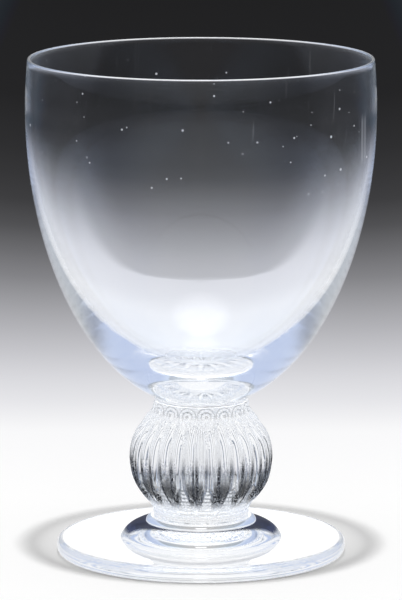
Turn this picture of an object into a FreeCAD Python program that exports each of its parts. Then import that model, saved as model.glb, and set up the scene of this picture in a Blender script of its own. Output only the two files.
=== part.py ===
import FreeCAD, Part
import math
import os

Vector = FreeCAD.Vector

# A stemmed liqueur glass, in millimetres. It stands on z = 0, its axis is the z axis and its
# front looks towards -y. From the table up it is foot, lower collar, knop, upper collar, bowl,
# each resting face to face on the one below, as the hot pieces were joined.

# Foot: a flat disc with a rounded edge, with a low dome in its middle for the stem to stand on
foot_radius = 23.2
foot_thickness = 2.3
foot_edge_round = 0.9
foot_dome_radius = 13.0
foot_seat_height = 5.0
# how far the dome's rounded shoulder bulges, as shares of its run and of its rise
foot_shoulder_shares = (0.2, 0.81)

# Lower collar: the thin plain ring that the knop stands on
lower_collar_radius = 8.9
lower_collar_height = 0.9
lower_collar_shoulder_radius = 8.2
lower_collar_round_share = 0.72

# Knop: a swelling ball ribbed with gadroons
knop_height = 18.9
knop_radius = 11.5
waist_radius = 7.5
gadroon_count = 16
gadroon_depth = 0.75
ornament_turn = 6.0
# share of the knop's height, share of its swelling, share of the groove's depth
knop_station_shares = (
    (0.0, 0.02, 0.0),
    (0.06, 0.0, 0.0),
    (0.11, 0.14, 0.15),
    (0.16, 0.37, 0.5),
    (0.24, 0.65, 0.85),
    (0.32, 0.85, 1.0),
    (0.42, 0.96, 1.0),
    (0.52, 1.0, 1.0),
    (0.63, 0.945, 1.0),
    (0.71, 0.81, 1.0),
    (0.78, 0.585, 0.8),
    (0.84, 0.39, 0.5),
    (0.89, 0.15, 0.15),
    (0.93, 0.03, 0.0),
    (1.0, 0.0, 0.0),
)

# Round bosses under the bowl and tapering rows of pearls above the lower collar
boss_radius = 1.3
boss_rise = 0.45
boss_margin = 0.1
pearl_row_count = 7
pearl_row_start = 1.1
pearl_row_length = 5.1
largest_pearl_radius = 0.7
smallest_pearl_radius = 0.35

# Upper collar: the thin disc between knop and bowl
upper_collar_radius = 7.5
upper_collar_height = 0.7
upper_collar_edge_round = 0.12

# Bowl: an egg-shaped cup, widest a little below its slightly drawn-in rim
bowl_height = 54.5
bowl_belly_radius = 27.95
bowl_belly_height = 46.25
bowl_rim_wall = 0.55
bowl_belly_wall = 0.7
bowl_base_thickness = 3.3

# Heights of the joints between the pieces
knop_base = foot_seat_height + lower_collar_height
upper_collar_base = knop_base + knop_height
bowl_base = upper_collar_base + upper_collar_height


def polar_point(radius, degrees, height):
    """A point at an angle from the front, turning to the right."""
    angle = math.radians(degrees)
    return Vector(radius * math.sin(angle), -radius * math.cos(angle), height)


def profile_point(radius, height):
    return Vector(radius, 0, height)


def turned_solid(edges):
    """Revolves a closed half profile about the axis."""
    face = Part.Face(Part.Wire(edges))
    return face.revolve(Vector(0, 0, 0), Vector(0, 0, 1), 360)


def straight(start, end):
    return Part.LineSegment(start, end).toShape()


def arc(start, middle, end):
    return Part.Arc(start, middle, end).toShape()


def make_foot():
    rim_start = foot_radius - foot_edge_round
    dome_run = foot_dome_radius - lower_collar_radius
    dome_rise = foot_seat_height - foot_thickness
    run_share, rise_share = foot_shoulder_shares

    centre = profile_point(0, 0)
    rim_bottom = profile_point(rim_start, 0)
    rim_side = profile_point(foot_radius, foot_thickness / 2)
    rim_top = profile_point(rim_start, foot_thickness)
    dome_foot = profile_point(foot_dome_radius, foot_thickness)
    shoulder = profile_point(foot_dome_radius - dome_run * run_share, foot_thickness + dome_rise * rise_share)
    seat_edge = profile_point(lower_collar_radius, foot_seat_height)
    seat_centre = profile_point(0, foot_seat_height)
    dome = Part.BezierCurve()
    dome.setPoles([dome_foot, shoulder, seat_edge])
    return turned_solid([
        straight(centre, rim_bottom),
        arc(rim_bottom, rim_side, rim_top),
        straight(rim_top, dome_foot),
        dome.toShape(),
        straight(seat_edge, seat_centre),
        straight(seat_centre, centre),
    ])


def make_lower_collar():
    drawn_in = lower_collar_radius - lower_collar_shoulder_radius
    base_centre = profile_point(0, foot_seat_height)
    base_edge = profile_point(lower_collar_radius, foot_seat_height)
    side = profile_point(
        lower_collar_shoulder_radius + drawn_in * lower_collar_round_share,
        foot_seat_height + lower_collar_height / 2,
    )
    top_edge = profile_point(lower_collar_shoulder_radius, knop_base)
    top_centre = profile_point(0, knop_base)
    return turned_solid([
        straight(base_centre, base_edge),
        arc(base_edge, side, top_edge),
        straight(top_edge, top_centre),
        straight(top_centre, base_centre),
    ])


def knop_crest_radius(swell_share):
    return waist_radius + (knop_radius - waist_radius) * swell_share


def knop_valley_radius(height):
    """Radius at the bottom of a groove, at a height above the knop's base."""
    share = height / knop_height
    for lower, upper in zip(knop_station_shares, knop_station_shares[1:]):
        if share <= upper[0]:
            break
    part = (share - lower[0]) / (upper[0] - lower[0])
    swell = lower[1] + (upper[1] - lower[1]) * part
    groove = lower[2] + (upper[2] - lower[2]) * part
    return knop_crest_radius(swell) - gadroon_depth * groove


def gadroon_section(height, crest, groove):
    """One cross-section of the knop: a closed ring of round lobes."""
    pitch = 360 / gadroon_count
    valley = crest - gadroon_depth * groove
    lobes = []
    for number in range(gadroon_count):
        start = ornament_turn + number * pitch
        lobes.append(arc(
            polar_point(valley, start, height),
            polar_point(crest, start + pitch / 2, height),
            polar_point(valley, start + pitch, height),
        ))
    return Part.Wire(lobes)


def ball(radius, centre):
    sphere = Part.makeSphere(radius)
    sphere.translate(centre)
    return sphere


def make_boss(degrees):
    """A shallow round boss: a large ball of which only the cap stands out of the knop."""
    curve = (boss_radius ** 2 + boss_rise ** 2) / (2 * boss_rise)
    height = knop_height - boss_radius - boss_margin
    surface = knop_valley_radius(height)
    cap = ball(curve, polar_point(surface + boss_rise - curve, degrees, knop_base + height))
    trim = Part.makeCylinder(boss_radius, knop_radius, Vector(0, 0, 0), polar_point(1, degrees, 0))
    trim.translate(Vector(0, 0, knop_base + height))
    return cap.common(trim)


def make_pearl_row(degrees):
    """Pearls that grow from the tip of a tongue down to its base."""
    pearls = []
    for number in range(pearl_row_count):
        share = number / (pearl_row_count - 1)
        height = pearl_row_start + pearl_row_length * share
        radius = largest_pearl_radius + (smallest_pearl_radius - largest_pearl_radius) * share
        pearls.append(ball(radius, polar_point(knop_valley_radius(height), degrees, knop_base + height)))
    return pearls


def make_knop():
    sections = []
    for height_share, swell_share, groove_share in knop_station_shares:
        height = knop_base + knop_height * height_share
        sections.append(gadroon_section(height, knop_crest_radius(swell_share), groove_share))
    body = Part.makeLoft(sections, True, False)
    ornament = []
    for number in range(gadroon_count):
        degrees = ornament_turn + number * 360 / gadroon_count
        ornament.append(make_boss(degrees))
        ornament.extend(make_pearl_row(degrees))
    return body.fuse(ornament).Solids[0]


def make_upper_collar():
    edge = upper_collar_radius - upper_collar_edge_round
    middle_height = upper_collar_base + upper_collar_height / 2
    base_centre = profile_point(0, upper_collar_base)
    base_edge = profile_point(edge, upper_collar_base)
    side = profile_point(upper_collar_radius, middle_height)
    top_edge = profile_point(edge, bowl_base)
    top_centre = profile_point(0, bowl_base)
    return turned_solid([
        straight(base_centre, base_edge),
        arc(base_edge, side, top_edge),
        straight(top_edge, top_centre),
        straight(top_centre, base_centre),
    ])


def bowl_half_depth():
    """Vertical half-axis of the outer wall, an ellipse about the belly that ends at the collar."""
    root_share = upper_collar_radius / bowl_belly_radius
    return bowl_belly_height / math.sqrt(1 - root_share ** 2)


def bowl_outer_radius(height):
    offset_share = (height - bowl_belly_height) / bowl_half_depth()
    return bowl_belly_radius * math.sqrt(1 - offset_share ** 2)


def bowl_outer_wall(wall_top):
    belly_level = bowl_base + bowl_belly_height
    half_depth = bowl_half_depth()
    ellipse = Part.Ellipse(
        profile_point(0, belly_level + half_depth),
        profile_point(bowl_belly_radius, belly_level),
        profile_point(0, belly_level),
    )
    top_angle = math.acos((wall_top - bowl_belly_height) / half_depth)
    base_angle = math.acos(-bowl_belly_height / half_depth)
    return Part.ArcOfEllipse(ellipse, top_angle, base_angle).toShape()


def bowl_cavity_wall():
    """The rounded inside of the bowl below its belly, an ellipse that ends in the floor's centre."""
    belly_level = bowl_base + bowl_belly_height
    ellipse = Part.Ellipse(
        profile_point(0, bowl_base + bowl_base_thickness),
        profile_point(bowl_belly_radius - bowl_belly_wall, belly_level),
        profile_point(0, belly_level),
    )
    return Part.ArcOfEllipse(ellipse, 0, math.pi / 2).toShape()


def make_bowl():
    wall_top = bowl_height - bowl_rim_wall / 2
    upper_middle = (bowl_belly_height + wall_top) / 2
    upper_wall = (bowl_belly_wall + bowl_rim_wall) / 2
    outer_lip_radius = bowl_outer_radius(wall_top)
    inner_lip_radius = outer_lip_radius - bowl_rim_wall
    outer_lip = profile_point(outer_lip_radius, bowl_base + wall_top)
    lip_top = profile_point((outer_lip_radius + inner_lip_radius) / 2, bowl_base + bowl_height)
    inner_lip = profile_point(inner_lip_radius, bowl_base + wall_top)
    inner_middle = profile_point(bowl_outer_radius(upper_middle) - upper_wall, bowl_base + upper_middle)
    inner_belly = profile_point(bowl_belly_radius - bowl_belly_wall, bowl_base + bowl_belly_height)
    base_centre = profile_point(0, bowl_base)
    base_edge = profile_point(upper_collar_radius, bowl_base)
    floor_centre = profile_point(0, bowl_base + bowl_base_thickness)
    return turned_solid([
        straight(base_centre, base_edge),
        bowl_outer_wall(wall_top),
        arc(outer_lip, lip_top, inner_lip),
        arc(inner_lip, inner_middle, inner_belly),
        bowl_cavity_wall(),
        straight(floor_centre, base_centre),
    ])


pieces = {
    "foot": make_foot(),
    "lower_collar": make_lower_collar(),
    "knop": make_knop(),
    "upper_collar": make_upper_collar(),
    "bowl": make_bowl(),
}

os.makedirs("parts", exist_ok=True)
for name, shape in pieces.items():
    shape.exportStep("parts/" + name + ".step")
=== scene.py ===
import math

import bpy
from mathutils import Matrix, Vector


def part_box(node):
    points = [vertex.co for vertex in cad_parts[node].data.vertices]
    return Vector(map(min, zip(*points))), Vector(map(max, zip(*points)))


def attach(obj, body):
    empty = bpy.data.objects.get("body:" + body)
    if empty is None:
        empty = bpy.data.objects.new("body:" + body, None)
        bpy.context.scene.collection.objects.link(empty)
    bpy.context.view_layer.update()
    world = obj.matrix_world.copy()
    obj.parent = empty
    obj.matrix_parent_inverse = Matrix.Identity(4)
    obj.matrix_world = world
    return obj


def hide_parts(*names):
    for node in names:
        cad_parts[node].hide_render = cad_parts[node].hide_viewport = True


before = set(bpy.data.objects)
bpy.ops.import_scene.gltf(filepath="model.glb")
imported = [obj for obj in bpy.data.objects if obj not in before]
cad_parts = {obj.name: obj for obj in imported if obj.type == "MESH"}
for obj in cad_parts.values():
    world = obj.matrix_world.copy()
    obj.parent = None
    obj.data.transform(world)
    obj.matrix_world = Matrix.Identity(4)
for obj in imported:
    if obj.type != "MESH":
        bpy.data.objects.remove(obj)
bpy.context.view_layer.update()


# The foot is a pressed disc of clear glass with a rounded, fire-polished edge. Its middle
# rises in a low dome, on which the stem was stuck while the glass was hot.

foot_low, foot_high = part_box("foot")
foot_radius = foot_high.x
foot_seat_height = foot_high.z
foot_thickness = 0.0023
foot_edge_round = 0.0009
foot_dome_radius = 0.013
# how far the dome's shoulder bulges, as shares of its run and of its rise
foot_shoulder_shares = (0.2, 0.81)
stem_seat_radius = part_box("lower_collar")[1].x

turned_segments = 256
flat_points = 8
round_points = 10
curve_points = 24
cap_points = 6
joint_gap = 0.00001
level_normal = 0.9
sharp_edge = math.radians(35)

glass_index = 1.52
clear_tint = (0.975, 0.985, 1.0, 1.0)
# the share of a lamp's light that flat glass lets by, and how much less steep glass does
flat_lets_by = 0.96
steep_holds_back = 0.5
steep_power = 4
foot_wave_size = 0.006
foot_wave_depth = 0.000004

# the dome's slope with a painted deep blue reflection: its outer edge, and how high above the
# disc it starts
dark_reflection_edge = (0.0118, 0.0128)
dark_reflection_rise = 0.0006
dark_reflection_when_edge_on = (0.57, 0.66)
dark_reflection_tint = (0.006, 0.008, 0.028, 1.0)
dark_reflection_color = (0.05, 0.063, 0.14, 1.0)
dark_reflection_cover = 0.75


class Wire:
    """One output of a shader node. Sums and products of wires add the Math nodes for them."""

    def __init__(self, tree, socket=None):
        self.tree = tree
        self.socket = socket

    def node(self, kind, settings, inputs, output=0):
        """Adds a node: its settings, then values or links of its sockets. Gives one output."""
        made = self.tree.nodes.new(kind)
        for key, value in settings.items():
            if key == "stops":
                elements = made.color_ramp.elements
                while len(elements) < len(value):
                    elements.new(1.0)
                for element, (position, color) in zip(elements, value):
                    element.position = position
                    element.color = color
            else:
                setattr(made, key, value)
        for key, value in inputs.items():
            if isinstance(value, Wire):
                self.tree.links.new(value.socket, made.inputs[key])
            else:
                made.inputs[key].default_value = value
        return Wire(self.tree, made.outputs[output] if made.outputs else None)

    def math(self, operation, *others):
        """A Math node of this wire and then the others."""
        return self.node(
            "ShaderNodeMath", {"operation": operation}, dict(enumerate((self, *others))))

    def smooth(self, low, high, start=0.0, end=1.0):
        """Goes softly from start to end as this wire goes from low to high."""
        return self.node("ShaderNodeMapRange", {"interpolation_type": "SMOOTHSTEP"}, {
            "Value": self, "From Min": low, "From Max": high, "To Min": start, "To Max": end})

    def mix_colors(self, share, first, second, kind="MIX"):
        """A Mix node for colours, whose colour sockets have only their numbers for names."""
        return self.node(
            "ShaderNodeMix", {"data_type": "RGBA", "blend_type": kind},
            {0: share, 6: first, 7: second}, 2)

    def mix_shaders(self, share, first, second):
        return self.node("ShaderNodeMixShader", {}, {0: share, 1: first, 2: second})

    def __add__(self, other):
        return self.math("ADD", other)

    def __radd__(self, other):
        return self + other

    def __sub__(self, other):
        return self.math("SUBTRACT", other)

    def __rsub__(self, other):
        return self.node("ShaderNodeMath", {"operation": "SUBTRACT"}, {0: other, 1: self})

    def __mul__(self, other):
        return self.math("MULTIPLY", other)

    def __rmul__(self, other):
        return self * other

    def __truediv__(self, other):
        return self.math("DIVIDE", other)

    def __pow__(self, other):
        return self.math("POWER", other)


def coordinates(paint, kind="Object"):
    """The place that is shaded, whole and then as its three coordinates."""
    spot = paint.node("ShaderNodeTexCoord", {}, {}, kind)
    axes = [paint.node("ShaderNodeSeparateXYZ", {}, {"Vector": spot}, axis) for axis in "XYZ"]
    return spot, *axes


def distance(across, along):
    return (along * along + across * across).math("SQRT")


def edge_on(paint):
    """Nought where a surface is seen straight on, rising to one where it is seen edge-on."""
    return paint.node("ShaderNodeLayerWeight", {}, {"Blend": 0.5}, "Facing")


def outside_of_glass(paint):
    return 1.0 - paint.node("ShaderNodeNewGeometry", {}, {}, "Backfacing")


def is_ray(paint, kind):
    return paint.node("ShaderNodeLightPath", {}, {}, "Is " + kind + " Ray")


def noise(paint, spot, scale, detail):
    return paint.node(
        "ShaderNodeTexNoise", {}, {"Vector": spot, "Scale": scale, "Detail": detail})


def bump(paint, depth, height):
    return paint.node(
        "ShaderNodeBump", {}, {"Strength": 1.0, "Distance": depth, "Height": height})


def clear_glass(paint, inputs):
    """Clear glass. Walls that stand steep to a lamp hold back its light, flat ones let it by."""
    solid = paint.node("ShaderNodeBsdfPrincipled", {}, {
        "Base Color": clear_tint, "Roughness": 0.0, "IOR": glass_index,
        "Transmission Weight": 1.0, **inputs})
    gone = paint.node("ShaderNodeBsdfTransparent", {}, {})
    lets_by = flat_lets_by - steep_holds_back * edge_on(paint) ** steep_power
    return paint.mix_shaders(is_ray(paint, "Shadow") * lets_by, solid, gone)


def plain_surface(paint, wave_size, wave_depth):
    """Clear glass with the faint waves that it keeps where it was pressed while hot."""
    spot = coordinates(paint)[0]
    waves = noise(paint, spot, 1 / wave_size, 2.0)
    return clear_glass(paint, {"Normal": bump(paint, wave_depth, waves)})


def foot_surface(paint):
    """Plain glass; where the dome's slopes are seen edge-on they get a painted deep blue
    reflection.
    """
    spot, across, back, height = coordinates(paint)
    # painted deep blue reflection on the dome's slopes, as a tint of the glass and as a dark matt
    # cover
    slope = distance(across, back).smooth(*dark_reflection_edge, 1.0, 0.0)
    slope = slope * height.smooth(foot_thickness, foot_thickness + dark_reflection_rise)
    blue = slope * edge_on(paint).smooth(*dark_reflection_when_edge_on) * outside_of_glass(paint)
    waves = noise(paint, spot, 1 / foot_wave_size, 2.0)
    glass = clear_glass(paint, {
        "Base Color": paint.mix_colors(blue, clear_tint, dark_reflection_tint),
        "Normal": bump(paint, foot_wave_depth, waves)})
    dark_reflection_bsdf = paint.node("ShaderNodeBsdfDiffuse", {}, {"Color": dark_reflection_color})
    return paint.mix_shaders(blue * dark_reflection_cover, glass, dark_reflection_bsdf)


def fused_surface(paint):
    """Where two pieces are fused there is no surface to see."""
    return paint.node("ShaderNodeBsdfTransparent", {}, {})


def new_material(name, surface, *values):
    """A material with the surface that a function draws with its wires."""
    material = bpy.data.materials.new(name)
    material.use_nodes = True
    material.node_tree.nodes.clear()
    paint = Wire(material.node_tree)
    paint.node("ShaderNodeOutputMaterial", {}, {"Surface": surface(paint, *values)})
    return material


def straight(start, end, count):
    """Points from start up to, but not at, end."""
    return [start.lerp(end, number / count) for number in range(count)]


def rounded(start, corner, end, count):
    """Points of a smooth curve from start, bulging towards a corner, up to but not at end."""
    points = []
    for number in range(count):
        share = number / count
        points.append(start.lerp(corner, share).lerp(corner.lerp(end, share), share))
    return points


def place(radius, height):
    return Vector((radius, 0, height))


def turned_piece(name, profile, segments=turned_segments):
    """Extrudes a vertex along a half profile that starts and ends on the axis, and spins it."""
    bpy.ops.object.select_all(action="DESELECT")
    bpy.ops.mesh.primitive_plane_add(size=foot_thickness)
    piece = bpy.context.object
    piece.name = name
    bpy.ops.object.mode_set(mode="EDIT")
    bpy.ops.mesh.select_mode(type="VERT")
    bpy.ops.mesh.select_all(action="SELECT")
    bpy.ops.mesh.merge(type="CENTER")
    bpy.ops.transform.translate(value=profile[0])
    for here, after in zip(profile, profile[1:]):
        bpy.ops.mesh.extrude_region_move(TRANSFORM_OT_translate={"value": after - here})
    bpy.ops.mesh.select_all(action="SELECT")
    bpy.ops.mesh.spin(steps=segments, angle=math.tau, center=(0, 0, 0), axis=(0, 0, 1))
    bpy.ops.mesh.select_all(action="SELECT")
    bpy.ops.mesh.remove_doubles(threshold=joint_gap / 10)
    bpy.ops.mesh.normals_make_consistent(inside=False)
    bpy.ops.object.mode_set(mode="OBJECT")
    bpy.ops.object.shade_smooth_by_angle(angle=sharp_edge)
    return piece


def is_fused(face, joints):
    """True for a level face within a joint, given as (height, radius) pairs."""
    reach = math.hypot(face.center.x, face.center.y)
    return abs(face.normal.z) > level_normal and any(
        abs(face.center.z - height) < joint_gap and reach < radius for height, radius in joints)


def finish_piece(piece, node, material, joints):
    """Gives a piece its glass, and none to the faces that are fused to the next piece."""
    piece.data.materials.append(material)
    piece.data.materials.append(fused_joint)
    for face in piece.data.polygons:
        if is_fused(face, joints):
            face.material_index = 1
    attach(piece, "root")
    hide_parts(node)


fused_joint = new_material("fused_joint", fused_surface)
foot_glass = new_material("foot_glass", foot_surface)
foot_rim_start = foot_radius - foot_edge_round
dome_run = foot_dome_radius - stem_seat_radius
dome_rise = foot_seat_height - foot_thickness
dome_shoulder = place(
    foot_dome_radius - dome_run * foot_shoulder_shares[0],
    foot_thickness + dome_rise * foot_shoulder_shares[1])
foot_profile = (
    straight(place(0, foot_low.z), place(foot_rim_start, foot_low.z), flat_points)
    + rounded(
        place(foot_rim_start, foot_low.z), place(foot_radius, foot_low.z),
        place(foot_radius, foot_thickness / 2), round_points)
    + rounded(
        place(foot_radius, foot_thickness / 2), place(foot_radius, foot_thickness),
        place(foot_rim_start, foot_thickness), round_points)
    + straight(
        place(foot_rim_start, foot_thickness), place(foot_dome_radius, foot_thickness),
        flat_points)
    + rounded(
        place(foot_dome_radius, foot_thickness), dome_shoulder,
        place(stem_seat_radius, foot_seat_height), curve_points)
    + straight(
        place(stem_seat_radius, foot_seat_height), place(0, foot_seat_height), cap_points)
    + [place(0, foot_seat_height)]
)
foot = turned_piece("foot_disc", foot_profile)
finish_piece(foot, "foot", foot_glass, [(foot_seat_height, stem_seat_radius)])


# The lower collar is a thin ring of clear glass that the knop stands on. Its side is round
# and fire polished, and it draws in towards the top.

lower_low, lower_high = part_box("lower_collar")
collar_shoulder_radius = 0.0082
collar_base = lower_low.z + joint_gap
collar_top = lower_high.z - joint_gap
collar_middle = (collar_base + collar_top) / 2
knop_foot_radius = 0.00757
ledge_points = 3
stem_wave_size = 0.003
stem_wave_depth = 0.000003

collar_profile = (
    straight(place(0, collar_base), place(stem_seat_radius, collar_base), cap_points)
    + rounded(
        place(stem_seat_radius, collar_base), place(stem_seat_radius, collar_middle),
        place(collar_shoulder_radius, collar_top), curve_points)
    + straight(
        place(collar_shoulder_radius, collar_top), place(knop_foot_radius, collar_top),
        ledge_points)
    + straight(place(knop_foot_radius, collar_top), place(0, collar_top), cap_points)
    + [place(0, collar_top)]
)
lower_collar = turned_piece("lower_collar_ring", collar_profile)
stem_glass = new_material("stem_glass", plain_surface, stem_wave_size, stem_wave_depth)
finish_piece(lower_collar, "lower_collar", stem_glass, [
    (collar_base, stem_seat_radius), (collar_top, knop_foot_radius)])


# The knop is pressed in a mould: a ball ribbed all round with broad gadroons that taper to
# points, with a ringed boss above and a tongue of pearls below every groove. The lower half of
# each gadroon is finely pebbled, and the upper half was polished in the fire.

knop_low, knop_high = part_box("knop")
knop_base = knop_low.z + joint_gap
knop_top = knop_high.z - joint_gap
knop_height = knop_top - knop_base
knop_radius = 0.0115
waist_radius = 0.0075
gadroon_depth = 0.00075
gadroon_count = 16
gadroon_turn = math.radians(6)
gadroon_pitch = math.tau / gadroon_count
knop_columns = 576
knop_rows = 132
knop_sharp_edge = math.radians(70)
# share of the knop's height, share of its swelling, share of the groove's depth
swell_stations = (
    (0.0, 0.02, 0.0), (0.06, 0.0, 0.0), (0.11, 0.14, 0.15), (0.16, 0.37, 0.5),
    (0.24, 0.65, 0.85), (0.32, 0.85, 1.0), (0.42, 0.96, 1.0), (0.52, 1.0, 1.0),
    (0.63, 0.945, 1.0), (0.71, 0.81, 1.0), (0.78, 0.585, 0.8), (0.84, 0.39, 0.5),
    (0.89, 0.15, 0.15), (0.93, 0.03, 0.0), (1.0, 0.0, 0.0),
)

# the tongues; their heights are shares of the knop's height
tongue_tip_share = 0.345
tongue_base_share = 0.08
tongue_width_share = 0.9
tongue_rows = 9
first_pearl_share = tongue_tip_share - 0.02
pearl_run_share = 0.285
first_pearl_radius = 0.00024
pearl_growth = 0.00009
pearl_rise_share = 0.7

# the bosses: a button in a ring of pearls, with a string of smaller ones below
boss_share = 0.91
boss_ring_radius = 0.0012
boss_ring_count = 11
boss_pearl_radius = 0.0003
boss_pearl_rise = 0.00022
boss_button_radius = 0.0006
boss_button_rise = 0.0003
string_count = 5
string_start_share = 0.9
string_pitch = 0.0006
string_pearl_radius = 0.00028
string_pearl_shrink = 0.00003

# where looks of the surface begin and end, as shares of the knop's height
pebbled_below = (0.48, 0.64)
carved_above = (0.76, 0.84)
dark_side_above = (0.1, 0.22)
tip_tapers = (0.18, 0.36)
tip_below = (0.33, 0.48)

# the pebbled grain; crests and grooves lie at minus one and one of a wave round the knop
petal_wave = (0.75, 0.2)
tip_waves = (-1.0, 0.6)
tip_softness = 0.4
grain_scale = 4200.0
grain_depth = 0.00004
patch_scale = 260.0
patch_noise = (0.3, 0.55)
carved_share = 0.6
pebbled_roughness = 0.06
# the painted shade on the pebbled leaves and their tips; the same dark colour draws the arcs
painted_shade_and_arc_color = (0.045, 0.047, 0.055, 1.0)
dark_when_turned = (0.14, 0.28)
dark_groove_share = 0.6
stipple_noise = (0.42, 0.62)
stipple_least = 0.55
tip_darkness = 0.85

# the fine arcs above each boss
arc_pitch = 0.0006
arc_wave = (0.3, 0.8)
arc_centre_below_top = 0.0014
arc_reach = (0.0017, 0.002)
arc_darkness = 0.35


def through_stations(column, share):
    """Smooth curve through one column of the stations."""
    last = len(swell_stations) - 1
    number = min(last - 1, max(n for n in range(last + 1) if swell_stations[n][0] <= share))
    before, lower, upper, beyond = (
        swell_stations[min(last, max(0, n))]
        for n in (number - 1, number, number + 1, number + 2))
    run = upper[0] - lower[0]
    lower_slope = run * (upper[column] - before[column]) / (upper[0] - before[0])
    upper_slope = run * (beyond[column] - lower[column]) / (beyond[0] - lower[0])
    part = (share - lower[0]) / run
    return (
        (2 * part ** 3 - 3 * part ** 2 + 1) * lower[column]
        + (part ** 3 - 2 * part ** 2 + part) * lower_slope
        + (3 * part ** 2 - 2 * part ** 3) * upper[column]
        + (part ** 3 - part ** 2) * upper_slope
    )


def pearl_places():
    """(side, height, radius, rise) of the pearls of one repeat; side runs round the knop."""
    found = []
    for row in range(tongue_rows):
        share = row / (tongue_rows - 1)
        height = knop_base + knop_height * (first_pearl_share - pearl_run_share * share)
        radius = first_pearl_radius + pearl_growth * share
        beads = 1 + row // 2
        for number in range(beads):
            side = (number - (beads - 1) / 2) * radius * 2
            found.append((side, height, radius, radius * pearl_rise_share))
    boss_height = knop_base + knop_height * boss_share
    for number in range(boss_ring_count):
        turn = math.tau * number / boss_ring_count
        side = boss_ring_radius * math.sin(turn)
        height = boss_height + boss_ring_radius * math.cos(turn)
        found.append((side, height, boss_pearl_radius, boss_pearl_rise))
    found.append((0.0, boss_height, boss_button_radius, boss_button_rise))
    for number in range(string_count):
        radius = string_pearl_radius - string_pearl_shrink * number
        height = boss_height - boss_ring_radius - string_pitch * (number + string_start_share)
        found.append((0.0, height, radius, radius * pearl_rise_share))
    return found


def knop_row(height):
    """What all points at one height share: crest, groove depth, half a tongue's angle, pearls."""
    share = min(1.0, max(0.0, (height - knop_base) / knop_height))
    crest = waist_radius + (knop_radius - waist_radius) * through_stations(1, share)
    depth = gadroon_depth * through_stations(2, share)
    widening = (tongue_tip_share - share) / (tongue_tip_share - tongue_base_share)
    tongue = gadroon_pitch / 2 * tongue_width_share * min(1.0, max(0.0, widening))
    near = [pearl for pearl in pearls if abs(height - pearl[1]) < pearl[2]]
    return crest, depth, tongue, near


def moulded_radius(angle, height, row):
    """Radius of the moulded surface at an angle from the front."""
    crest, depth, tongue, near = row
    half_pitch = gadroon_pitch / 2
    offset = (angle - gadroon_turn + half_pitch) % gadroon_pitch - half_pitch
    across = -1.0
    if abs(offset) > tongue:
        across = 2 * (abs(offset) - tongue) / (half_pitch - tongue) - 1
    radius = crest - depth * across * across
    rise = 0.0
    for side, pearl_height, pearl_radius, pearl_rise in near:
        gap = math.hypot(offset * crest - side, height - pearl_height) / pearl_radius
        if gap < 1:
            rise = max(rise, pearl_rise * math.sqrt(1 - gap * gap))
    return radius + rise


def up_the_knop(height, shares, start=0.0, end=1.0):
    """Goes softly from start to end between two shares of the knop's height."""
    low, high = (knop_base + knop_height * share for share in shares)
    return height.smooth(low, high, start, end)


def moulded_surface(paint):
    """Fire-polished glass, pebbled on the gadroons' lower half and round the bosses, with painted
    shade on the leaves that turn away and on the leaves' lower tips.
    """
    spot, across, back, height = coordinates(paint)
    grain = noise(paint, spot, grain_scale, 1.0)
    patches = noise(paint, spot, patch_scale, 2.0)
    turn = across.math("ARCTAN2", 0.0 - back) - gadroon_turn
    lobes = (turn * gadroon_count).math("COSINE")
    petal = lobes.smooth(*petal_wave)
    lower_half = up_the_knop(height, pebbled_below, 1.0, 0.0)
    leaf = petal * lower_half
    carved = up_the_knop(height, carved_above) * carved_share
    matt = (leaf * patches.smooth(*patch_noise)).math("MAXIMUM", carved)

    # painted shade darkens the pebbled leaves that turn away, and the leaves' lower tips
    turned_away_shade = edge_on(paint).smooth(*dark_when_turned)
    side_shade = lower_half * turned_away_shade * up_the_knop(height, dark_side_above)
    side_shade = side_shade * (petal * (1.0 - dark_groove_share) + dark_groove_share)
    stipple = grain.smooth(*stipple_noise, 1.0, stipple_least)
    tip = (up_the_knop(height, tip_tapers, *tip_waves) - lobes).smooth(0.0, tip_softness)
    tip = tip * up_the_knop(height, tip_below, 1.0, 0.0)
    painted_shade_and_arc_share = (side_shade * stipple).math("MAXIMUM", tip * tip_darkness)

    # fine arcs round the upper side of each boss
    repeats = turn * (1 / gadroon_pitch) + 0.5
    across_boss = (repeats.math("FRACT") - 0.5) * (waist_radius * gadroon_pitch)
    above_boss = height - (knop_top - arc_centre_below_top)
    boss_distance = distance(across_boss, above_boss)
    arcs = (boss_distance * (math.tau / arc_pitch)).math("SINE").smooth(*arc_wave)
    arcs = arcs * boss_distance.smooth(*arc_reach, 1.0, 0.0) * above_boss.smooth(-arc_pitch, 0.0)
    painted_shade_and_arc_share = painted_shade_and_arc_share.math("MAXIMUM", arcs * arc_darkness) * outside_of_glass(paint)

    relief = bump(paint, grain_depth, grain * matt)
    glass = clear_glass(paint, {"Roughness": matt * pebbled_roughness, "Normal": relief})
    # a dark matt surface that paints the shade on the leaves and draws the arcs
    painted_shade_and_arcs = paint.node(
        "ShaderNodeBsdfDiffuse", {}, {"Color": painted_shade_and_arc_color, "Normal": relief})
    return paint.mix_shaders(painted_shade_and_arc_share, glass, painted_shade_and_arcs)


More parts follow.
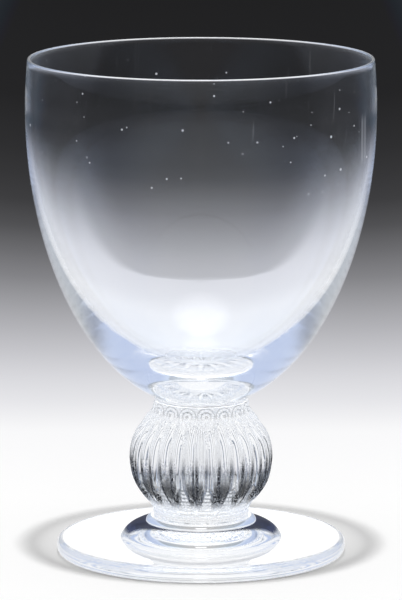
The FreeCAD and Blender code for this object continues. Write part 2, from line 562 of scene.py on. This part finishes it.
pearls = pearl_places()
knop_profile = (
    straight(place(0, knop_base), place(waist_radius, knop_base), ledge_points)
    + straight(place(waist_radius, knop_base), place(waist_radius, knop_top), knop_rows)
    + straight(place(waist_radius, knop_top), place(0, knop_top), ledge_points)
    + [place(0, knop_top)]
)
knop = turned_piece("moulded_knop", knop_profile, knop_columns)
rows_by_height = {}
for vertex in knop.data.vertices:
    if math.hypot(vertex.co.x, vertex.co.y) > waist_radius - joint_gap:
        level = round(vertex.co.z, 7)
        if level not in rows_by_height:
            rows_by_height[level] = knop_row(vertex.co.z)
        angle = math.atan2(vertex.co.x, -vertex.co.y)
        radius = moulded_radius(angle, vertex.co.z, rows_by_height[level])
        vertex.co.x = radius * math.sin(angle)
        vertex.co.y = -radius * math.cos(angle)
bpy.ops.object.shade_smooth_by_angle(angle=knop_sharp_edge)
moulded_glass = new_material("moulded_glass", moulded_surface)
finish_piece(knop, "knop", moulded_glass, [
    (knop_base, waist_radius), (knop_top, waist_radius)])


# The upper collar is a thin disc of clear glass with a rounded edge. It was stuck between the
# knop and the bowl while all three were hot.

upper_low, upper_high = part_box("upper_collar")
disc_base = upper_low.z + joint_gap
disc_top = upper_high.z - joint_gap
disc_middle = (disc_base + disc_top) / 2
disc_radius = 0.0075
disc_edge_round = 0.00012
disc_edge = disc_radius - disc_edge_round

disc_profile = (
    straight(place(0, disc_base), place(disc_edge, disc_base), cap_points)
    + rounded(
        place(disc_edge, disc_base), place(disc_radius + disc_edge_round, disc_middle),
        place(disc_edge, disc_top), round_points)
    + straight(place(disc_edge, disc_top), place(0, disc_top), cap_points)
    + [place(0, disc_top)]
)
upper_collar = turned_piece("upper_collar_disc", disc_profile)
finish_piece(upper_collar, "upper_collar", stem_glass, [
    (disc_base, disc_radius), (disc_top, disc_radius)])


# The bowl is blown: a deep egg shape with a fire-polished rim about half a millimetre thick,
# and a wall that thickens downwards into a solid base. It has stood in a cupboard, so there
# are specks of dust on it and a few hair-thin scratches, which glow with painted light.

bowl_low, bowl_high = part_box("bowl")
bowl_base = bowl_low.z + joint_gap
bowl_height = bowl_high.z - bowl_base
bowl_belly_radius = 0.02795
bowl_belly_height = 0.04625
bowl_rim_wall = 0.00055
bowl_belly_wall = 0.0007
bowl_base_thickness = 0.0033
bowl_rows = 110
lip_points = 12
bowl_half_depth = bowl_belly_height / math.sqrt(1 - (disc_radius / bowl_belly_radius) ** 2)

thin_tint = (0.985, 0.99, 1.0, 1.0)
thick_tint = (0.92, 0.95, 1.0, 1.0)
thick_base_ends = (bowl_base + 0.002, bowl_base + 0.022)
bowl_wave_scale = 83.0
bowl_wave_depth = 0.000006
streak_scales = (160.0, 160.0, 700.0)
streak_share = 1.5

# the dust and scratches are real marks, but their brightness is a painted glow
dust_glow_color = (0.58, 0.6, 0.66, 1.0)
dust_scale = 420.0
dust_cover = 0.9
largest_speck = 0.11
speck_softness = 0.012
dusty_above = (bowl_base + 0.033, bowl_base + 0.039)
dusty_below = (0.073, 0.077)

scratch_turn = (0.0, 0.12, 0.3)
scratch_scales = (1600.0, 1600.0, 28.0)
scratch_noise = (0.76, 0.8)
scratch_cover = 0.18
worn_patch_scale = 45.0
worn_patch_noise = (0.6, 0.72)
# one long scratch, on the right in front: its place to the right, half width and ends
long_scratch_side = 0.0252
long_scratch_half = 0.00022
long_scratch_softness = 0.0001
long_scratch_front = (0.0, 0.001)
long_scratch_bottom = (0.064, 0.066)
long_scratch_top = (0.071, 0.073)


def bowl_outer_radius(height):
    offset_share = (height - bowl_belly_height) / bowl_half_depth
    return bowl_belly_radius * math.sqrt(1 - offset_share ** 2)


def bowl_inner_radius(height):
    """Half an ellipse up to the belly; above it the wall thins towards the rim."""
    offset = height - bowl_belly_height
    if offset > 0:
        thinning = offset / (bowl_height - bowl_belly_height)
        wall = bowl_belly_wall + (bowl_rim_wall - bowl_belly_wall) * thinning
        return bowl_outer_radius(height) - wall
    depth_share = min(1.0, -offset / (bowl_belly_height - bowl_base_thickness))
    return (bowl_belly_radius - bowl_belly_wall) * math.sqrt(1 - depth_share ** 2)


def bowl_profile():
    wall_top = bowl_height - bowl_rim_wall / 2
    points = straight(place(0, bowl_base), place(disc_radius, bowl_base), cap_points)
    for number in range(bowl_rows):
        height = wall_top * number / bowl_rows
        points.append(place(bowl_outer_radius(height), bowl_base + height))
    lip_radius = (bowl_outer_radius(wall_top) + bowl_inner_radius(wall_top)) / 2
    lip_half_wall = (bowl_outer_radius(wall_top) - bowl_inner_radius(wall_top)) / 2
    for number in range(lip_points + 1):
        angle = math.pi * number / lip_points
        points.append(place(
            lip_radius + lip_half_wall * math.cos(angle),
            bowl_base + wall_top + bowl_rim_wall / 2 * math.sin(angle)))
    for number in range(1, bowl_rows):
        share = (1 - number / bowl_rows) ** 2
        height = bowl_base_thickness + (wall_top - bowl_base_thickness) * share
        points.append(place(bowl_inner_radius(height), bowl_base + height))
    points.append(place(0, bowl_base + bowl_base_thickness))
    return points


def between(height, bottom, top):
    """One between a soft bottom and a soft top, and nought outside them."""
    return height.smooth(*bottom) * height.smooth(*top, 1.0, 0.0)


def specks_of_dust(paint, spot):
    """Specks, each of its own size, strewn one to a cell."""
    cells = {"Vector": spot, "Scale": dust_scale}
    speck_distance = paint.node("ShaderNodeTexVoronoi", {}, cells, "Distance")
    cell_color = paint.node("ShaderNodeTexVoronoi", {}, cells, "Color")
    speck_size = paint.node("ShaderNodeSeparateColor", {}, {"Color": cell_color}, "Red")
    return (speck_size ** 2 * largest_speck - speck_distance).smooth(0.0, speck_softness)


def scratches(paint, spot, across, back, height):
    stretched = paint.node("ShaderNodeMapping", {"vector_type": "POINT"}, {
        "Vector": spot, "Rotation": scratch_turn, "Scale": scratch_scales})
    hairs = noise(paint, stretched, 1.0, 0.0).smooth(*scratch_noise)
    hairs = hairs * noise(paint, spot, worn_patch_scale, 1.0).smooth(*worn_patch_noise)
    aside = (across - long_scratch_side).math("ABSOLUTE")
    long_one = (long_scratch_half - aside).smooth(0.0, long_scratch_softness)
    long_one = long_one * (0.0 - back).smooth(*long_scratch_front)
    long_one = long_one * between(height, long_scratch_bottom, long_scratch_top)
    return hairs.math("MAXIMUM", long_one)


def blown_surface(paint):
    """Thin clear glass, bluer and streakier where the base is thick; dust and scratches glow with
    painted light.
    """
    spot, across, back, height = coordinates(paint)
    thick_base = height.smooth(*thick_base_ends, 1.0, 0.0)
    flattened = paint.node("ShaderNodeMapping", {"vector_type": "POINT"}, {
        "Vector": spot, "Scale": streak_scales})
    streaks = noise(paint, flattened, 1.0, 1.0) * thick_base * streak_share
    waves = noise(paint, spot, bowl_wave_scale, 2.0) + streaks
    glass = clear_glass(paint, {
        "Base Color": paint.mix_colors(thick_base, thin_tint, thick_tint),
        "Normal": bump(paint, bowl_wave_depth, waves)})
    dusty = between(height, dusty_above, dusty_below)
    dust = specks_of_dust(paint, spot) * dusty * dust_cover
    dust_and_scratch_glow = dust.math("MAXIMUM", scratches(paint, spot, across, back, height) * scratch_cover)
    # a painted glow for the dust and scratches, which no lamp gives
    pale = paint.node("ShaderNodeEmission", {}, {"Color": dust_glow_color})
    return paint.mix_shaders(dust_and_scratch_glow, glass, pale)


bowl = turned_piece("blown_bowl", bowl_profile())
blown_glass = new_material("blown_glass", blown_surface)
finish_piece(bowl, "bowl", blown_glass, [(bowl_base, disc_radius)])


# The floor is a plain matt sheet: white about the glass, lost in the dark further off, and
# in bluer, dimmer light at both sides. Glass in front of it shows it unshaded, but with a
# painted dim patch behind the glass and painted brighter sheet round that. Near the glass
# it takes the shadow of the glass.

floor_radius = 3.0
floor_segments = 128
floor_drop = 0.00005
floor_front = -0.4
floor_back = 0.8
# how far behind the glass in metres, and how bright the sheet is there
pool_stops = (
    (-0.4, 0.06), (-0.15, 0.1), (-0.1, 0.18), (-0.075, 0.35), (-0.055, 0.75), (-0.037, 1.0),
    (0.040, 1.0), (0.094, 0.95), (0.120, 0.81), (0.144, 0.71), (0.170, 0.58), (0.197, 0.46),
    (0.225, 0.35), (0.256, 0.235), (0.289, 0.155), (0.324, 0.085), (0.361, 0.05),
    (0.401, 0.038), (0.445, 0.029), (0.542, 0.019), (0.793, 0.016),
)
dim_blueness = 0.03
# distance to a side in metres, and the share of that light left there
side_stops = (
    (0.0, (1.0, 1.0, 1.0, 1.0)), (0.06, (1.0, 1.0, 1.0, 1.0)),
    (0.12, (0.93, 0.98, 1.06, 1.0)), (0.17, (0.58, 0.62, 0.7, 1.0)),
    (0.25, (0.3, 0.33, 0.38, 1.0)), (0.36, (0.12, 0.13, 0.15, 1.0)),
    (0.55, (0.05, 0.055, 0.065, 1.0)),
)
# distance to a side in metres, and the least light there, however far behind
haze_stops = (
    (0.0, (0.0, 0.0, 0.0, 1.0)), (0.05, (0.0, 0.0, 0.0, 1.0)),
    (0.14, (0.1, 0.12, 0.15, 1.0)), (0.22, (0.08, 0.1, 0.13, 1.0)),
    (0.36, (0.02, 0.025, 0.03, 1.0)),
)
# the pool of light reaches further back at its sides
pool_widening = 0.3
widens_aside = (0.03, 0.14)
widens_behind = (0.0, 0.01)
# through the glass only, painted shade dims a patch of the sheet behind it, and painted light
# brightens what is round it
dim_from = 0.147
dim_spread = 0.056
dim_narrowing = 0.22
dim_edge = (-0.005, 0.003)
dim_start_softness = 0.006
dim_depth = 0.38
bright_around = 0.16
bright_from = (0.11, 0.18)
bright_aside = (0.07, 0.12)
change_ends = (0.33, 0.4)
# how far from the glass the sheet takes its shadow
shade_ends = (0.06, 0.15)


def pool_color(level):
    """A dimmer part of the pool is a little bluer."""
    blue = dim_blueness * (1.0 - level ** 4)
    return (level * (1.0 - blue), level * (1.0 - blue), level * (1.0 + blue), 1.0)


def floor_surface(paint):
    across, back = coordinates(paint)[1:3]
    aside = across.math("ABSOLUTE")
    widening = aside.smooth(*widens_aside, 0.0, pool_widening) * back.smooth(*widens_behind)
    floor_run = floor_back - floor_front
    at = (back * (1.0 - widening) - floor_front) / floor_run
    stops = [((place_behind - floor_front) / floor_run, pool_color(level))
             for place_behind, level in pool_stops]
    pool = paint.node("ShaderNodeValToRGB", {"stops": stops}, {"Fac": at})
    sides = paint.node("ShaderNodeValToRGB", {"stops": side_stops}, {"Fac": aside})
    haze = paint.node("ShaderNodeValToRGB", {"stops": haze_stops}, {"Fac": aside})
    color = paint.mix_colors(1.0, pool, sides, "MULTIPLY")
    color = paint.mix_colors(1.0, color, haze, "LIGHTEN")

    # painted shade and painted light that only rays through the glass see
    dim_width = (back - dim_from).math("MAXIMUM", 0.0) ** dim_narrowing * dim_spread
    dim = (dim_width - aside).smooth(*dim_edge) * dim_depth
    dim = dim * back.smooth(dim_from - dim_start_softness, dim_from + dim_start_softness)
    bright = back.smooth(*bright_from, 0.0, bright_around) * aside.smooth(*bright_aside, 1.0, 0.0)
    change = (bright - dim) * back.smooth(*change_ends, 1.0, 0.0)
    through = is_ray(paint, "Transmission")
    seen_color = paint.mix_colors(1.0, color, change * through + 1.0, "MULTIPLY")

    glow = paint.node("ShaderNodeEmission", {}, {"Color": seen_color})
    matt = paint.node("ShaderNodeBsdfDiffuse", {}, {"Color": color})
    shaded = paint.mix_shaders(distance(across, back).smooth(*shade_ends, 1.0, 0.0), glow, matt)
    in_glass = is_ray(paint, "Glossy").math("MAXIMUM", through)
    return paint.mix_shaders(in_glass, shaded, glow)


bpy.ops.object.select_all(action="DESELECT")
bpy.ops.mesh.primitive_circle_add(
    vertices=floor_segments, radius=floor_radius, fill_type="NGON",
    location=(0, 0, -floor_drop))
floor = bpy.context.object
floor.name = "floor"
floor.data.materials.append(new_material("floor", floor_surface))


# The room: dimmer straight behind the glass up to about seventeen degrees, white above that,
# pale blue at both sides and dim low down behind the camera. A small white card behind the
# glass brightens the foot, and a soft light hangs straight above.

room_level = 0.25
dark_rise = math.radians(17)
dark_softness = math.radians(7)
dark_side = (math.radians(20), math.radians(30))
dark_level = 0.5
# turn from straight behind as a share of half a circle
wall_stops = (
    (0.0, (1.0, 1.0, 1.0, 1.0)), (0.03, (1.0, 1.0, 1.0, 1.0)), (0.1, (0.8, 0.9, 1.0, 1.0)),
    (0.17, (0.5, 0.59, 0.8, 1.0)), (0.64, (0.5, 0.59, 0.8, 1.0)),
    (0.81, (0.84, 0.91, 1.0, 1.0)),
)
ceiling_from = (0.6, 0.85)
ceiling_white = (1.0, 1.0, 1.0, 1.0)
overhead_from = (0.9, 0.995)
overhead_level = 3.0
front_turn = (math.radians(85), math.radians(115))
front_rise = (math.radians(17), math.radians(28))
front_low_level = 0.45
skirting_rise = (math.radians(-3), math.radians(2))
skirting_level = 0.15
card_side = (math.radians(2.6), math.radians(3.2))
card_bottom = (math.radians(9.4), math.radians(10))
card_top = (math.radians(15), math.radians(15.6))

world = bpy.data.worlds.new("room")
bpy.context.scene.world = world
world.use_nodes = True
world.node_tree.nodes.clear()
room = Wire(world.node_tree)
sideways, backward, upward = coordinates(room, "Generated")[1:]
turn = sideways.math("ABSOLUTE").math("ARCTAN2", backward)
rise = upward.math("ARCSINE")

wall = room.node("ShaderNodeValToRGB", {"stops": wall_stops}, {"Fac": turn / math.pi})
room_color = room.mix_colors(upward.smooth(*ceiling_from), wall, ceiling_white)
dark_top = turn.smooth(*dark_side, dark_rise, -dark_softness)
behind = (rise - dark_top).smooth(0.0, dark_softness, dark_level, 1.0)
front_loss = 1.0 - rise.smooth(*front_rise, front_low_level, 1.0)
front = 1.0 - turn.smooth(*front_turn) * front_loss
skirting = rise.smooth(*skirting_rise, skirting_level, 1.0)
card = turn.smooth(*card_side, 1.0, 0.0) * between(rise, card_bottom, card_top)
overhead = upward.smooth(*overhead_from, 0.0, overhead_level)
light = behind * front * skirting + card + overhead
even = room.node("ShaderNodeBackground", {}, {"Color": (*[room_level] * 3, 1.0)})
shown = room.node("ShaderNodeBackground", {}, {
    "Color": room.mix_colors(1.0, room_color, light, "MULTIPLY")})
in_glass = is_ray(room, "Glossy").math("MAXIMUM", is_ray(room, "Transmission"))
seen = in_glass.math("MAXIMUM", is_ray(room, "Camera"))
room.node("ShaderNodeOutputWorld", {}, {"Surface": room.mix_shaders(seen, even, shown)})

lamp_height = 2.0
lamp_forward = 0.16
lamp_size = 0.1
lamp_watts = 31
lamp_tilt = math.atan(lamp_forward / lamp_height)
bpy.ops.object.light_add(
    type="AREA", location=(0, -lamp_forward, lamp_height), rotation=(lamp_tilt, 0, 0))
lamp = bpy.context.object
lamp.data.shape = "DISK"
lamp.data.size = lamp_size
lamp.data.energy = lamp_watts
lamp.visible_glossy = False
lamp.visible_transmission = False


# Camera: a long lens from the front, a little above the rim.

camera_distance = 0.7063
camera_height = 0.168
camera_pitch = math.radians(10.194)
camera_near = 0.01
camera_far = 10
focal_pixels = 4486.2
frame_pixels = 600
film = 36
bpy.ops.object.camera_add(
    location=(0, -camera_distance, camera_height),
    rotation=(math.radians(90) - camera_pitch, 0, 0))
camera = bpy.context.object
camera.data.sensor_width = film
camera.data.lens = film * focal_pixels / frame_pixels
camera.data.clip_start = camera_near
camera.data.clip_end = camera_far
bpy.context.scene.camera = camera

# light crosses many walls of glass before it leaves the thick ones
glass_bounces = 128
clear_layers = 32
scene = bpy.context.scene
scene.view_settings.view_transform = "Standard"
scene.cycles.max_bounces = glass_bounces
scene.cycles.transmission_bounces = glass_bounces
scene.cycles.glossy_bounces = glass_bounces
scene.cycles.transparent_max_bounces = clear_layers
scene.cycles.caustics_refractive = False
scene.cycles.caustics_reflective = False
